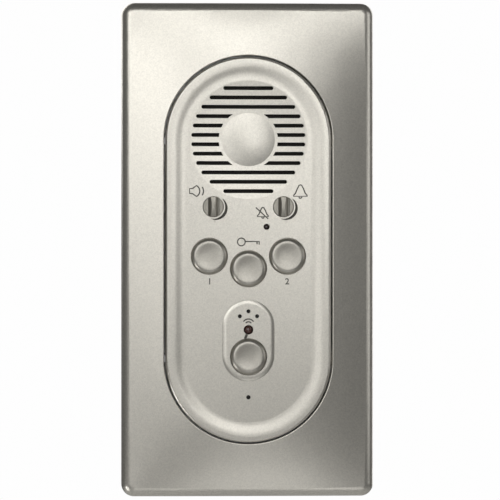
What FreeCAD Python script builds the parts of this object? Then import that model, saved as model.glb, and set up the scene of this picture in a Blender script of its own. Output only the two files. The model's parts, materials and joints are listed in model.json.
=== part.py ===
import FreeCAD, Part
import math
import os
import Sketcher

# Flush wall intercom: a metallic cover plate, an oval front module with a speaker grille,
# two volume knobs and four buttons, and a housing that sinks into a double wall box.
#
# Every piece is drawn in the front view: x runs right, y runs up the wall, and z is the level,
# the distance in front of the wall's surface. stand() then turns the piece upright, so that
# the front looks along -Y, the levels run along -Y and the wall's surface is the plane Y = 0.
# The origin is the centre of the wall box's four screws.

# Driving dimensions in millimetres, and angles in degrees
SIZES = {
    # wall box and mounting frame
    "box_screw_pitch": 71.0,
    "slot_radius": 2.1,
    "slot_length": 7.0,
    "slot_inner_wall": 1.7,
    "slot_outer_wall": 2.0,
    "frame_corner": 3.0,
    "frame_sheet": 1.2,
    "frame_clear": 0.3,
    "frame_end_wall": 10.5,
    "lip_end": 15.0,
    "lip_gap": 0.3,
    "lug_inset": 4.0,
    "lug_end": 15.0,
    "lug_length": 8.0,
    "lug_gap": 0.05,
    # cover plate
    "plate_corner": 4.0,
    "plate_edge_level": 5.6,
    "plate_rise": 5.4,
    "plate_round": 3.2,
    "plate_wall": 1.5,
    "plate_side_room": 4.0,
    "plate_end_room": 7.75,
    "opening_gap": 0.5,
    "opening_round": 0.3,
    "collar_wall": 1.2,
    "collar_gap": 0.6,
    "pin_radius": 1.2,
    "pin_gap": 0.1,
    "pin_proud": 0.4,
    "pin_side": 5.5,
    "pin_end": 8.75,
    # plate liner and its clips
    "liner_skin": 1.4,
    "liner_roof_gap": 0.1,
    "liner_gap": 0.3,
    "liner_clear": 1.15,
    "screw_head_clear": 5.0,
    "clip_width": 2.6,
    "clip_sheet": 0.6,
    "clip_length": 7.0,
    "clip_proud": 0.9,
    "clip_drop": 2.6,
    # front fascia
    "face_side": 6.85,
    "face_end_drop": 6.2,
    "rim_level": 9.4,
    "rim_round": 0.8,
    "face_land": 1.8,
    "face_slope": 4.7,
    "face_drop": 0.45,
    "face_skin": 2.0,
    "face_wall": 1.8,
    # speaker grille
    "grille_inset": 1.4,
    "grille_inner_radius": 9.6,
    "grille_pitch": 3.04,
    "grille_slot": 1.27,
    "dome_inset": 0.95,
    "dome_height": 0.6,
    "cap_flat": 0.4,
    "bowl_margin": 0.7,
    "bowl_depth": 0.9,
    # speaker
    "speaker_radius": 20.0,
    "speaker_land": 2.6,
    "cloth_skin": 0.4,
    "gasket_skin": 0.8,
    "basket_sheet": 0.8,
    "basket_depth": 8.3,
    "basket_base_reach": 4.8,
    "basket_window": 12.0,
    "cone_sheet": 0.35,
    "surround_roll": 2.7,
    "surround_height": 0.6,
    "coil_radius": 5.35,
    "coil_wall": 0.3,
    "coil_length": 4.3,
    "coil_gap": 0.25,
    "dust_cap_height": 1.7,
    "top_plate_inset": 0.9,
    "top_plate_sheet": 1.2,
    "magnet_reach": 0.5,
    "magnet_bore_gap": 0.8,
    "magnet_height": 3.0,
    "hook_width": 4.0,
    "hook_sheet": 1.2,
    "hook_gap": 0.2,
    "hook_nose": 1.0,
    "hook_nose_height": 0.9,
    "strip_width": 9.0,
    "strip_height": 2.4,
    "strip_sheet": 1.0,
    "speaker_lug_width": 1.8,
    "speaker_lug_sheet": 0.3,
    "speaker_lug_inset": 0.9,
    "speaker_pin_pitch": 3.0,
    "speaker_wire_radius": 0.45,
    # main board
    "board_gap": 0.5,
    "board_speaker_gap": 4.8,
    "board_sheet": 1.6,
    # buttons and their switches
    "button_radius": 5.75,
    "button_gap": 0.3,
    "button_lip": 0.7,
    "button_clear": 0.43,
    "button_proud": 1.5,
    "button_edge_round": 1.35,
    "dish_margin": 0.75,
    "dish_depth": 0.22,
    "button_skin": 1.4,
    "button_wall": 1.1,
    "flange_sheet": 0.9,
    "flange_gap": 0.3,
    "door_button_drop": 4.05,
    "stem_radius": 1.6,
    "stem_clear": 1.8,
    "switch_width": 6.0,
    "switch_height": 3.5,
    "switch_floor": 1.0,
    "plunger_radius": 1.7,
    "plunger_room": 1.2,
    "plunger_gap": 0.1,
    # volume knobs and their potentiometers
    "knob_across": 11.4,
    "knob_clear": 0.4,
    "knob_radius": 3.2,
    "knob_gap": 0.25,
    "knob_lip": 1.0,
    "knob_sunk": 0.3,
    "knob_crown": 0.2,
    "grip_width": 0.3,
    "grip_lift": 0.03,
    "grip_proud": 0.9,
    "grip_flank": 2.0,
    "shaft_radius": 1.5,
    "shaft_gap": 0.06,
    "shaft_reach": 1.1,
    "shaft_foot": 2.4,
    "knob_bore_gap": 0.01,
    "knob_pot_gap": 1.9,
    "pot_width": 9.0,
    "pot_height": 6.0,
    "pot_neck_radius": 3.0,
    "pot_neck_height": 1.4,
    "wedge_reach": 0.35,
    "wedge_shift": 0.9,
    "wedge_drop": 0.5,
    "wedge_land": 0.4,
    "wedge_depth": 0.9,
    "quiet_dot_radius": 0.33,
    "quiet_dot_across": 0.4,
    "quiet_dot_drop": 4.78,
    # talk panel
    "talk_margin": 2.35,
    "talk_spacing": 4.75,
    "talk_clear": 4.1,
    "talk_button_drop": 0.55,
    "talk_proud": 0.28,
    "talk_shoulder": 1.3,
    "talk_seat": 1.0,
    "talk_gap": 0.05,
    "sound_hole_radius": 0.65,
    "sound_hole_inset": 3.65,
    "sound_side_across": 2.8,
    "sound_side_drop": 1.6,
    "link_width": 0.9,
    "link_depth": 0.4,
    "link_length": 3.4,
    "link_angle": 20.0,
    # lamps
    "mute_led_radius": 0.95,
    "mute_led_across": 5.9,
    "talk_led_radius": 1.5,
    "led_gap": 0.06,
    "led_sunk": 0.15,
    "led_base_gap": 0.5,
    "led_base_sheet": 0.6,
    "led_base_lip": 0.35,
    "led_button_gap": 0.5,
    "led_pot_gap": 0.45,
    "led_spacer_wall": 0.55,
    "led_spacer_bore": 1.0,
    "led_pin_radius": 0.22,
    "led_pin_offset": 0.6,
    # microphone
    "mic_button_gap": 1.7,
    "mic_hole_radius": 0.7,
    "mic_radius": 3.0,
    "mic_height": 2.7,
    "mic_roof": 0.5,
    "boot_wall": 0.95,
    "boot_height": 3.3,
    "boot_ring_wall": 1.0,
    "boot_ring_height": 2.6,
    "mic_pin_radius": 0.3,
    "mic_pin_offset": 1.27,
    # rear housing
    "housing_inset": 2.35,
    "housing_wall": 1.6,
    "housing_floor": 1.8,
    "housing_rim_gap": 0.3,
    "housing_back_round": 1.6,
    "flange_reach": 1.5,
    "flange_height": 1.5,
    "latch_nose": 1.0,
    "latch_root": 0.3,
    "latch_height": 2.8,
    "latch_step": 0.5,
    "latch_length": 8.0,
    "latch_pitch": 20.0,
    "vent_width": 24.0,
    "vent_slot": 1.6,
    "vent_pitch": 4.0,
    # housing screws, their bosses and posts
    "lower_screw_drop": 6.3,
    "post_radius": 3.4,
    "post_gap": 0.5,
    "boss_radius": 2.4,
    "boss_gap": 0.15,
    "screw_radius": 1.2,
    "screw_gap": 0.1,
    "screw_grip": 6.0,
    "screw_head_radius": 2.3,
    "screw_head_height": 1.5,
    "screw_well_gap": 0.2,
    "screw_well_depth": 2.6,
    "driver_slot": 0.6,
    # terminal block
    "terminal_pitch": 4.0,
    "terminal_height": 11.0,
    "terminal_post_gap": 0.6,
    "terminal_proud": 1.6,
    "terminal_clear": 0.5,
    "terminal_wall": 1.0,
    "wire_entry_drop": 3.2,
    "terminal_well_radius": 1.5,
    "terminal_well_rise": 2.2,
    "terminal_screw_gap": 0.1,
    "terminal_screw_height": 2.6,
    "cage_wall": 0.2,
    "cage_end_wall": 1.1,
    "cage_depth": 4.4,
    "cage_gap": 0.05,
    "cage_roof": 6.8,
    # parts on the board
    "chip_length": 10.0,
    "chip_width": 4.0,
    "chip_height": 1.7,
    "chip_gap": 2.5,
    "chip_middle_gap": 8.0,
    "capacitor_radius": 4.0,
    "capacitor_height": 9.0,
    "capacitor_room": 1.2,
    "capacitor_gap": 1.5,
    "capacitor_post_gap": 1.6,
    "small_capacitor_radius": 2.5,
    "small_capacitor_height": 7.0,
    "chip_part_length": 2.0,
    "chip_part_width": 1.2,
    "chip_part_height": 0.6,
    "chip_part_pitch": 3.2,
    "chip_part_gap": 5.0,
    "connector_width": 7.0,
    "connector_depth": 3.6,
    "connector_height": 5.0,
    # how far a cutter runs past the face that it cuts, and how deep a joined piece overlaps
    "overrun": 2.0,
    "join": 0.2,
}

HOOK_ANGLES = (90.0, 210.0, 330.0)
LEFT_RIGHT = (-1, 1)
TERMINALS = 8
VENTS = 5
CHIP_PARTS = 10
CROWN_REACH_SHARE = 1.05
CROWN_POWERS = (2, 4)
DRIVER_SLOT_SHARE = 0.6
SLACK_SHARE = 0.001
HALF_TURN = "half turn"

doc = FreeCAD.newDocument("WallIntercom")
sheet = doc.addObject("Spreadsheet::Sheet", "Sheet")
for row, (alias, number) in enumerate(SIZES.items(), start=1):
    sheet.set(f"A{row}", alias.replace("_", " "))
    sheet.set(f"B{row}", str(number))
    sheet.setAlias(f"B{row}", alias)
doc.recompute()


class Size:
    """A length that knows its value and the sheet expression that gives it."""

    def __init__(self, text, value):
        self.text = text
        self.value = float(value)

    def joined(self, sign, other, value):
        return Size(f"({self.text} {sign} {text_of(other)})", value)

    def __add__(self, other):
        return self.joined("+", other, self.value + value_of(other))

    def __sub__(self, other):
        return self.joined("-", other, self.value - value_of(other))

    def __mul__(self, other):
        return self.joined("*", other, self.value * value_of(other))

    def __truediv__(self, other):
        return self.joined("/", other, self.value / value_of(other))

    def __radd__(self, other):
        return as_size(other) + self

    def __rsub__(self, other):
        return as_size(other) - self

    def __rmul__(self, other):
        return as_size(other) * self

    def __neg__(self):
        return Size(f"(-1 * {self.text})", -self.value)


def text_of(length):
    return length.text if isinstance(length, Size) else repr(float(length))


def value_of(length):
    return length.value if isinstance(length, Size) else float(length)


def as_size(length):
    return length if isinstance(length, Size) else Size(text_of(length), length)


class Named:
    """The sheet's cells, read by alias."""

    def __getattr__(self, alias):
        return Size("Sheet." + alias, sheet.get(alias))


n = Named()
subparts = []


def leg(slant, side):
    """The other short side of a right triangle."""
    value = math.sqrt(slant.value**2 - side.value**2)
    return Size(f"sqrt({slant.text} ^ 2 - {side.text} ^ 2)", value)


# Levels that several pieces share, from the fascia's rim back to the housing
field_level = n.rim_level - n.face_drop
under_level = field_level - n.face_skin
talk_level = field_level + n.talk_proud
cap_flange_top = under_level - n.flange_gap
cap_flange_bottom = cap_flange_top - n.flange_sheet
cloth_bottom = under_level - n.cloth_skin
gasket_bottom = cloth_bottom - n.gasket_skin
basket_rim_bottom = gasket_bottom - n.basket_sheet
basket_floor = basket_rim_bottom - n.basket_depth
led_base_level = under_level - n.led_base_gap - n.led_base_sheet
board_level = cap_flange_bottom - n.knob_pot_gap - n.pot_neck_height - n.pot_height
board_back = board_level - n.board_sheet
stem_level = board_level + n.switch_height + n.stem_clear
plunger_bottom_level = board_level + n.switch_floor + n.plunger_room
shaft_top_level = cap_flange_bottom + n.shaft_reach
shaft_bottom_level = board_level + n.shaft_foot
housing_inner_floor = board_back - n.capacitor_height - n.capacitor_room
housing_back_level = housing_inner_floor - n.housing_floor
screw_seat_level = housing_back_level + n.screw_well_depth
terminal_back_level = housing_back_level - n.terminal_proud
flange_top_level = n.frame_sheet + n.flange_height
liner_top_level = n.plate_edge_level - n.plate_wall - n.liner_roof_gap
liner_level = liner_top_level - n.liner_skin
clip_top_level = liner_top_level + n.clip_proud

# Radii that several pieces share: the fascia's follow the speaker's
face_radius = n.speaker_radius + n.face_side
cavity_radius = face_radius - n.face_wall
housing_radius = face_radius - n.housing_inset
housing_inner_radius = housing_radius - n.housing_wall
board_radius = housing_inner_radius - n.board_gap
grille_radius = n.speaker_radius - n.grille_inset
dome_radius = n.grille_inner_radius - n.dome_inset
button_hole_radius = n.button_radius + n.button_gap
button_flange_radius = n.button_radius + n.button_lip
knob_hole_radius = n.knob_radius + n.knob_gap
knob_flange_radius = n.knob_radius + n.knob_lip
talk_radius = button_hole_radius + n.talk_margin
basket_throat_radius = n.coil_radius + n.coil_gap
basket_base_radius = basket_throat_radius + n.basket_base_reach
spacer_radius = n.led_spacer_bore + n.led_spacer_wall
boot_radius = n.mic_radius + n.boot_wall
boot_ring_radius = boot_radius + n.boot_ring_wall

# How far below the speaker's centre the knobs, buttons and talk panel stand, each row clear
# of the one above, and the half distance between the centres of the fascia's two round ends
knob_drop = leg(n.speaker_radius + n.knob_clear + knob_flange_radius, n.knob_across)
boss_row = 2 * (n.boss_radius + n.boss_gap)
side_button_drop = knob_drop + n.pot_width / 2 + boss_row + button_flange_radius
door_button_drop = side_button_drop + n.door_button_drop
talk_top_drop = door_button_drop + button_hole_radius + n.talk_clear
talk_drop = talk_top_drop + talk_radius + n.talk_spacing
face_spacing = (talk_drop + n.face_end_drop) / 2

# Heights above the origin
knob_up = face_spacing - knob_drop
mute_led_up = knob_up - n.pot_width / 2 - n.led_pot_gap - spacer_radius
side_button_up = face_spacing - side_button_drop
upper_screw_up = side_button_up + button_flange_radius + n.boss_gap + n.boss_radius
door_button_up = face_spacing - door_button_drop
sound_hole_up = face_spacing - talk_top_drop - n.sound_hole_inset
sound_side_up = sound_hole_up - n.sound_side_drop
talk_up = face_spacing - talk_drop
talk_button_up = talk_up - n.talk_spacing - n.talk_button_drop
led_button_rise = n.talk_led_radius + n.led_base_lip + n.led_button_gap
talk_led_up = talk_button_up + button_flange_radius + led_button_rise
mic_up = talk_button_up - button_flange_radius - n.mic_button_gap - boot_ring_radius
lower_screw_up = 0 - (face_spacing + n.lower_screw_drop)
terminal_rise = n.post_radius + n.terminal_post_gap + n.terminal_height / 2
terminal_up = lower_screw_up + terminal_rise
board_top = face_spacing - basket_base_radius - n.board_speaker_gap
speaker_lug_up = face_spacing - n.speaker_radius + n.speaker_lug_inset

# The wall box's screws stand 60 mm apart, just outside the housing, and the mounting frame and
# the cover plate reach past them
frame_opening_radius = housing_radius + n.frame_clear
box_screw_across = 2 * (frame_opening_radius + n.slot_inner_wall) + n.slot_length
frame_width = box_screw_across + n.slot_length + 2 * n.slot_outer_wall
frame_height = 2 * (face_spacing + frame_opening_radius + n.frame_end_wall)
plate_width = frame_width + 2 * (n.plate_side_room + n.plate_wall)
plate_height = frame_height + 2 * (n.plate_end_room + n.plate_wall)
lug_across = frame_width / 2 - n.lug_inset
lug_up = frame_height / 2 - n.lug_end
pin_across = plate_width / 2 - n.plate_wall - n.pin_side
pin_up = plate_height / 2 - n.plate_wall - n.pin_end

# Where the buttons and knobs stand: across, up, and the level of the surface round them
side_button_across = leg(2 * button_flange_radius + n.button_clear, n.door_button_drop)
BUTTONS = {
    "left": (-side_button_across, side_button_up, field_level),
    "door": (0, door_button_up, field_level),
    "right": (side_button_across, side_button_up, field_level),
    "talk": (0, talk_button_up, talk_level),
}
KNOBS = {
    "speech": (-n.knob_across, knob_up),
    "ring": (n.knob_across, knob_up),
}
screw_reach = housing_inner_radius - n.post_radius - n.post_gap
SCREW_PLACES = [
    (side * across, up)
    for across, up in (
        (screw_reach, upper_screw_up),
        (leg(screw_reach, n.lower_screw_drop), lower_screw_up),
    )
    for side in LEFT_RIGHT
]


def bind(item, **sizes):
    """Tie properties to the sheet."""
    for name, size in sizes.items():
        item.setExpression(name, text_of(size))
    return item


def put(item, x, y, z):
    """Place a piece in the front view."""
    for axis, place in zip("xyz", (x, y, z)):
        item.setExpression("Placement.Base." + axis, text_of(place))
    return item


def block(name, x, y, z, width, height, depth):
    """A box centred on x and y that starts at level z."""
    item = doc.addObject("Part::Box", name)
    bind(item, Length=width, Width=height, Height=depth)
    return put(item, x - width / 2, y - height / 2, z)


def rod(name, x, y, z, radius, depth):
    """A cylinder that starts at level z."""
    item = doc.addObject("Part::Cylinder", name)
    bind(item, Radius=radius, Height=depth)
    return put(item, x, y, z)


def fuse(name, pieces):
    item = doc.addObject("Part::MultiFuse", name)
    item.Shapes = pieces
    return item


def cut(name, base, tools):
    item = doc.addObject("Part::Cut", name)
    item.Base = base
    item.Tool = tools[0] if len(tools) == 1 else fuse(name + "_tools", tools)
    return item


def common(name, one, other):
    item = doc.addObject("Part::Common", name)
    item.Base = one
    item.Tool = other
    return item


def group(name, pieces):
    item = doc.addObject("Part::Compound", name)
    item.Links = pieces
    return item


def rounded(name, base, radius, wanted):
    """Round the edges of a piece for which wanted(edge) is true."""
    doc.recompute()
    item = doc.addObject("Part::Fillet", name)
    item.Base = base
    numbers = [i for i, edge in enumerate(base.Shape.Edges, start=1) if wanted(edge)]
    item.Edges = [(number, radius.value, radius.value) for number in numbers]
    return item


def at_level(level):
    """A test for edges that lie flat at one level."""
    slack = n.overrun.value * SLACK_SHARE

    def test(edge):
        box = edge.BoundBox
        return abs(box.ZMin - level.value) < slack and abs(box.ZMax - level.value) < slack

    return test


def upright(edge):
    """Is the edge a straight one along z?"""
    box = edge.BoundBox
    return box.XLength + box.YLength < box.ZLength * SLACK_SHARE


def oval(name, radius, spacing, z, depth, y=0):
    """An upright oval prism: two round ends, spacing above and below y."""
    ends = [rod(f"{name}_end", 0, y + side * spacing, z, radius, depth) for side in LEFT_RIGHT]
    return fuse(name, [block(name + "_middle", 0, y, z, 2 * radius, 2 * spacing, depth)] + ends)


def origin_plane(body, role):
    return [plane for plane in body.Origin.OriginFeatures if plane.Role == role][0]


def new_sketch(body, role):
    sketch = body.newObject("Sketcher::SketchObject", body.Name + "_sketch")
    sketch.AttachmentSupport = (origin_plane(body, role), [""])
    sketch.MapMode = "FlatFace"
    return sketch


def pin_point(sketch, edge, end, x, y):
    """Fix one end of an edge to sizes measured from the sketch's origin."""
    for axis, place, line in (("X", x, -2), ("Y", y, -1)):
        if isinstance(place, Size):
            rule = Sketcher.Constraint("Distance" + axis, -1, 1, edge, end, place.value)
            sketch.setExpression(f"Constraints[{sketch.addConstraint(rule)}]", place.text)
        else:
            sketch.addConstraint(Sketcher.Constraint("PointOnObject", edge, end, line))


def arc_edge(start, stop, radius):
    """An arc from start to stop; a positive radius turns left on the way."""
    chord = stop - start
    side = 1 if radius > 0 else -1
    rise = math.sqrt(max(0, radius * radius - chord.Length * chord.Length / 4))
    normal = FreeCAD.Vector(-chord.y, chord.x, 0).normalize()
    centre = (start + stop) * 0.5 + normal * (side * rise)
    first, last = (start, stop) if side > 0 else (stop, start)
    angles = [math.atan2(p.y - centre.y, p.x - centre.x) for p in (first, last)]
    if angles[1] <= angles[0]:
        angles[1] += 2 * math.pi
    circle = Part.Circle(centre, FreeCAD.Vector(0, 0, 1), abs(radius))
    return Part.ArcOfCircle(circle, *angles), (1, 2) if side > 0 else (2, 1)


def draw(sketch, corners):
    """A closed outline. A corner's third entry is the radius of the arc to the next corner,
    or HALF_TURN for a half circle to the left."""
    points = [FreeCAD.Vector(value_of(c[0]), value_of(c[1]), 0) for c in corners]
    drawn = []
    for index, corner in enumerate(corners):
        start, stop = points[index], points[(index + 1) % len(points)]
        bend = corner[2] if len(corner) > 2 else None
        if bend is None:
            edge = sketch.addGeometry(Part.LineSegment(start, stop), False)
            drawn.append((edge, (1, 2), "Coincident"))
        elif bend == HALF_TURN:
            arc, ends = arc_edge(start, stop, (stop - start).Length / 2)
            drawn.append((sketch.addGeometry(arc, False), ends, "Tangent"))
        else:
            arc, ends = arc_edge(start, stop, bend.value)
            edge = sketch.addGeometry(arc, False)
            radius = bend if bend.value > 0 else -bend
            limit = sketch.addConstraint(Sketcher.Constraint("Radius", edge, radius.value))
            sketch.setExpression(f"Constraints[{limit}]", radius.text)
            drawn.append((edge, ends, "Coincident"))
    for index, (edge, ends, joint) in enumerate(drawn):
        following, next_ends, _ = drawn[(index + 1) % len(drawn)]
        sketch.addConstraint(Sketcher.Constraint(joint, edge, ends[1], following, next_ends[0]))
        pin_point(sketch, edge, ends[0], *corners[index][:2])


def turned(name, corners, turn=360):
    """A piece turned about the z axis from a half outline in radius and level."""
    body = doc.addObject("PartDesign::Body", name)
    sketch = new_sketch(body, "XZ_Plane")
    draw(sketch, corners)
    feature = body.newObject("PartDesign::Revolution", name + "_turn")
    feature.Profile = sketch
    feature.ReferenceAxis = (sketch, ["V_Axis"])
    feature.Angle = turn
    return body


def extruded(name, corners, length):
    """An outline in x and level, extruded equally both ways along y."""
    body = doc.addObject("PartDesign::Body", name)
    sketch = new_sketch(body, "XZ_Plane")
    draw(sketch, corners)
    feature = body.newObject("PartDesign::Pad", name + "_pad")
    feature.Profile = sketch
    feature.SideType = "Symmetric"
    bind(feature, Length=length)
    return body


def stadium(name, half, across, spacing, up):
    """An oval form in three pieces: its two turned ends and the extruded stretch between them."""
    top = turned(name + "_top", half, 180)
    low = turned(name + "_low", half, 180)
    low.Placement.Rotation = FreeCAD.Rotation(FreeCAD.Vector(0, 0, 1), 180)
    middle = extruded(name + "_middle", across, 2 * spacing)
    put(top, 0, up + spacing, 0)
    put(low, 0, up - spacing, 0)
    put(middle, 0, up, 0)
    return [top, low, middle]


def stand(item, label, x=0, y=0, z=0):
    """Turn a finished sub-part upright, set it at its place and list it."""
    item.Label = label
    item.Placement = FreeCAD.Placement(
        FreeCAD.Vector(0, 0, 0), FreeCAD.Rotation(FreeCAD.Vector(1, 0, 0), 90)
    )
    if any(isinstance(place, Size) for place in (x, y, z)):
        put(item, x, 0 - as_size(z), y)
    subparts.append(item)
    return item


def turn_radius(width, rise):
    """The radius of two equal tangent arcs that make an S of this width and rise."""
    return (width * width + rise * rise) / (4 * rise)


def cap_radius(half_width, rise):
    """The sphere radius of a shallow cap."""
    return (half_width * half_width + rise * rise) / (2 * rise)


def crown_poles(power):
    """Poles, from end to end, of a rise that falls off from the middle with this power."""
    return [1 - (-1) ** step * CROWN_REACH_SHARE**power for step in range(power + 1)]


def crown_tool(name, edge_level):
    """All that lies above the plate's pillow surface, which falls to edge_level at its sides."""
    across_power, up_power = CROWN_POWERS
    surface = Part.BezierSurface()
    surface.increase(across_power, up_power)
    for column, across_share in enumerate(crown_poles(across_power)):
        x = (column / across_power - 0.5) * CROWN_REACH_SHARE * plate_width.value
        for line, up_share in enumerate(crown_poles(up_power)):
            y = (line / up_power - 0.5) * CROWN_REACH_SHARE * plate_height.value
            level = edge_level.value + n.plate_rise.value * across_share * up_share
            surface.setPole(column + 1, line + 1, FreeCAD.Vector(x, y, level))
    tool = doc.addObject("Part::Feature", name)
    above = n.plate_rise.value + n.rim_level.value
    tool.Shape = surface.toShape().extrude(FreeCAD.Vector(0, 0, above))
    return tool


# Cover plate

def corner_block(name, inset, z, depth):
    """A prism with the plate's outline, drawn in by inset."""
    width = plate_width - 2 * inset
    height = plate_height - 2 * inset
    prism = block(name + "_block", 0, 0, z, width, height, depth)
    return rounded(name, prism, n.plate_corner - inset, upright)


def cover_plate():
    top = n.plate_edge_level + n.plate_rise
    blank = corner_block("plate_blank", as_size(0), as_size(0), top)
    crowned = cut("plate_crowned", blank, [crown_tool("plate_crown", n.plate_edge_level)])

    def on_rim(edge):
        return edge.BoundBox.ZMin > n.plate_edge_level.value / 2

    soft = rounded("plate_soft", crowned, n.plate_round, on_rim)
    opening_radius = face_radius + n.opening_gap
    collar_level = liner_top_level + n.collar_gap
    opening = oval("plate_opening", opening_radius, face_spacing, as_size(0), top)
    opened = cut("plate_opened", soft, [opening])

    def at_opening(edge):
        box = edge.BoundBox
        near = opening_radius.value + n.opening_gap.value
        return box.ZMin > collar_level.value and max(abs(box.XMin), abs(box.XMax)) < near

    eased = rounded("plate_eased", opened, n.opening_round, at_opening)
    inner = corner_block("plate_inner", n.plate_wall, -n.overrun, top + n.overrun)
    roof = crown_tool("plate_roof", n.plate_edge_level - n.plate_wall)
    collar = oval(
        "plate_collar",
        opening_radius + n.collar_wall,
        face_spacing,
        collar_level,
        top,
    )
    pin_level = liner_level - n.pin_proud
    pins = [
        rod("plate_pin", across * pin_across, up * pin_up, pin_level, n.pin_radius, top)
        for across in LEFT_RIGHT
        for up in LEFT_RIGHT
    ]
    hollow = cut("plate_hollow", inner, [roof, collar] + pins)
    stand(cut("plate_shell", eased, [hollow]), "cover_plate")


def plate_liner():
    width = plate_width - 2 * n.plate_wall - 2 * n.liner_gap
    height = plate_height - 2 * n.plate_wall - 2 * n.liner_gap
    depth = n.liner_skin
    prism = block("liner_block", 0, 0, liner_level, width, height, depth)
    blank = rounded("liner_blank", prism, n.plate_corner - n.plate_wall, upright)
    low = liner_level - n.overrun
    deep = depth + 2 * n.overrun
    tools = [oval("liner_opening", face_radius + n.liner_clear, face_spacing, low, deep)]
    for across in LEFT_RIGHT:
        for up in LEFT_RIGHT:
            screw_x = across * box_screw_across / 2
            screw_y = up * n.box_screw_pitch / 2
            tools.append(rod("liner_notch", screw_x, screw_y, low, n.screw_head_clear, deep))
            pin_x = across * pin_across
            pin_y = up * pin_up
            pin_hole = n.pin_radius + n.pin_gap
            tools.append(rod("liner_pin_hole", pin_x, pin_y, low, pin_hole, deep))
            lug_x = across * lug_across
            lug_y = up * lug_up
            window = n.clip_width + n.liner_gap
            window_length = n.lug_length + 2 * n.liner_gap
            tools.append(
                block("liner_window", lug_x, lug_y, low, window, window_length, deep)
            )
    stand(cut("liner", blank, tools), "plate_liner")


def plate_clips():
    """Inverted channels that sit on the frame's lugs and spring against the liner."""
    clips = []
    bottom = clip_top_level - n.clip_drop
    for across in LEFT_RIGHT:
        for up in LEFT_RIGHT:
            x = across * lug_across
            y = up * lug_up
            size = (n.clip_width, n.clip_length, n.clip_drop)
            body = block("clip_body", x, y, bottom, *size)
            throat = n.clip_width - 2 * n.clip_sheet
            deep = n.clip_drop - n.clip_sheet + n.overrun
            long = n.clip_length + 2 * n.overrun
            tool = block("clip_throat", x, y, bottom - n.overrun, throat, long, deep)
            clips.append(cut("clip", body, [tool]))
    stand(group("clips", clips), "plate_clips")


# Mounting frame

def rectangle(x, y, width, height):
    left, right = x - width / 2, x + width / 2
    low, high = y - height / 2, y + height / 2
    return [(left, low), (right, low), (right, high), (left, high)]


def slot_outline(x, y, length, radius):
    left, right = x - (length / 2 - radius), x + (length / 2 - radius)
    low, high = y - radius, y + radius
    return [(left, low), (right, low, HALF_TURN), (right, high), (left, high, HALF_TURN)]


def oval_outline(radius, spacing):
    return [
        (radius, -spacing),
        (radius, spacing, HALF_TURN),
        (-radius, spacing),
        (-radius, -spacing, HALF_TURN),
    ]


def mounting_frame():
    body = doc.addObject("PartDesign::Body", "frame")

    def pad(name, outlines, height):
        sketch = new_sketch(body, "XY_Plane")
        for outline in outlines:
            draw(sketch, outline)
        feature = body.newObject("PartDesign::Pad", name)
        feature.Profile = sketch
        return bind(feature, Length=height)

    outline = rectangle(as_size(0), as_size(0), frame_width, frame_height)
    plate = pad("frame_plate", [outline], n.frame_sheet)
    doc.recompute()
    corners = body.newObject("PartDesign::Fillet", "frame_corners")
    names = [
        f"Edge{i}" for i, edge in enumerate(plate.Shape.Edges, start=1) if upright(edge)
    ]
    corners.Base = (plate, names)
    bind(corners, Radius=n.frame_corner)
    lip_x = (frame_width - n.frame_sheet) / 2
    lip_length = frame_height - 2 * n.lip_end
    lips = [
        rectangle(side * lip_x, as_size(0), n.frame_sheet, lip_length) for side in LEFT_RIGHT
    ]
    pad("frame_lips", lips, liner_level - n.lip_gap)
    lug_sheet = n.clip_width - 2 * n.clip_sheet - 2 * n.lug_gap
    lugs = [
        rectangle(across * lug_across, up * lug_up, lug_sheet, n.lug_length)
        for across in LEFT_RIGHT
        for up in LEFT_RIGHT
    ]
    pad("frame_lugs", lugs, clip_top_level - n.clip_sheet)

    def pocket(name, outlines):
        sketch = new_sketch(body, "XY_Plane")
        for outline in outlines:
            draw(sketch, outline)
        feature = body.newObject("PartDesign::Pocket", name)
        feature.Profile = sketch
        feature.SideType = "Symmetric"
        bind(feature, Length=2 * (n.frame_sheet + n.overrun))

    pocket("frame_opening", [oval_outline(frame_opening_radius, face_spacing)])
    slots = []
    for across in LEFT_RIGHT:
        for up in LEFT_RIGHT:
            x = across * box_screw_across / 2
            y = up * n.box_screw_pitch / 2
            slots.append(slot_outline(x, y, n.slot_length, n.slot_radius))
    pocket("frame_slots", slots)
    stand(body, "mounting_frame")


# Front fascia

def dish_tool():
    """What is hollowed out of the fascia's front: a flat field inside an S-shaped slope."""
    rim = face_radius - n.face_land
    toe = rim - n.face_slope
    middle = (rim + toe) / 2
    half_level = (n.rim_level + field_level) / 2
    above = n.rim_level + n.overrun
    bend = turn_radius(n.face_slope, n.face_drop)
    half = [
        (0, field_level),
        (toe, field_level, bend),
        (middle, half_level, -bend),
        (rim, n.rim_level),
        (rim, above),
        (0, above),
    ]
    across = [
        (-toe, field_level),
        (toe, field_level, bend),
        (middle, half_level, -bend),
        (rim, n.rim_level),
        (rim, above),
        (-rim, above),
        (-rim, n.rim_level, -bend),
        (-middle, half_level, bend),
    ]
    return stadium("dish", half, across, face_spacing, as_size(0))


def grille_forms():
    """The shallow bowl that is cut under the grille, and the dome that stands in its middle."""
    bowl_radius = grille_radius + n.bowl_margin
    bowl_bend = cap_radius(bowl_radius, n.bowl_depth)
    bowl_floor = field_level - n.bowl_depth
    above = n.rim_level + n.overrun
    bowl = turned(
        "grille_bowl",
        [
            (0, bowl_floor, bowl_bend),
            (bowl_radius, field_level),
            (bowl_radius, above),
            (0, above),
        ],
    )
    dome_foot = bowl_floor + bowl_bend - leg(bowl_bend, dome_radius)
    dome = turned(
        "dome",
        [
            (0, bowl_floor - n.join),
            (dome_radius, bowl_floor - n.join),
            (dome_radius, dome_foot, cap_radius(dome_radius - n.cap_flat, n.dome_height)),
            (n.cap_flat, dome_foot + n.dome_height),
            (0, dome_foot + n.dome_height),
        ],
    )
    return [put(form, 0, face_spacing, 0) for form in (bowl, dome)]


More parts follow.
